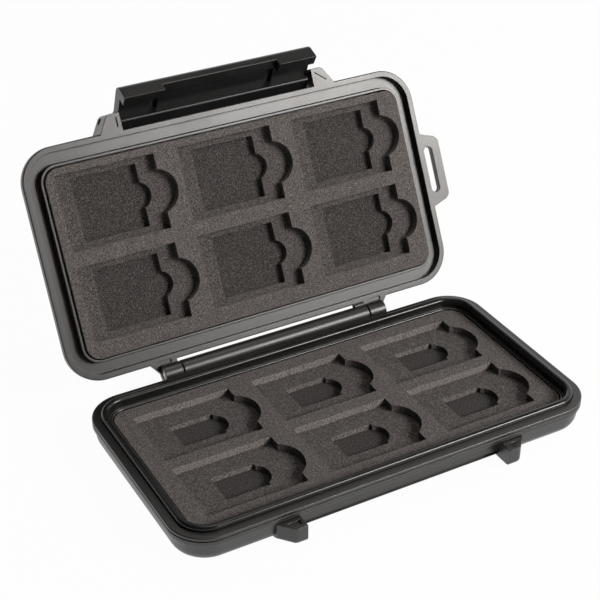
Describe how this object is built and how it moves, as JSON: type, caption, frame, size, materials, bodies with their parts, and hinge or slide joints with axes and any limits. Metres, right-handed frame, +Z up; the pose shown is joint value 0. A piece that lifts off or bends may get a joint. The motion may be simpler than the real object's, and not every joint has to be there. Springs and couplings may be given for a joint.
{
  "type": "memory card case",
  "caption": "Flat hinged memory card case standing open, with a sealed rim, stepped foam pockets with finger notches, a full-width snap latch and a lanyard loop.",
  "frame": {"origin": "middle of the flat underside of the base", "axes": "+X along the long side toward the lanyard loop, +Y from the latch side of the base to the hinge, +Z up"},
  "size_m": [0.1489, 0.1309, 0.0929],
  "materials": {
    "shell_plastic": "satin",
    "tray_plastic": "satin",
    "seal_rubber": "satin",
    "foam": "matte, open cells",
    "pin_steel": "plain"
  },
  "bodies": {
    "base": {"base_shell": "shell_plastic", "base_seal": "seal_rubber", "base_liner": "tray_plastic", "base_foam_top": "foam", "base_foam_middle": "foam", "base_foam_backing": "foam", "hinge_pin": "pin_steel"},
    "lid": {"lid_shell": "shell_plastic", "lid_liner": "tray_plastic", "lid_foam_top": "foam", "lid_foam_middle": "foam", "lid_foam_backing": "foam", "latch_pin": "pin_steel"},
    "latch": {"latch": "shell_plastic"}
  },
  "joints": [
    {"name": "lid_hinge", "type": "hinge", "parent": "base", "child": "lid", "pos_m": [0, 0.0414, 0.0096], "axis": [1, 0, 0], "range_deg": [0, 117.1]},
    {"name": "latch_pivot", "type": "hinge", "parent": "lid", "child": "latch", "pos_m": [0, 0.08511, 0.08053], "axis": [1, 0, 0], "range_deg": [-45, 42.1]}
  ]
}
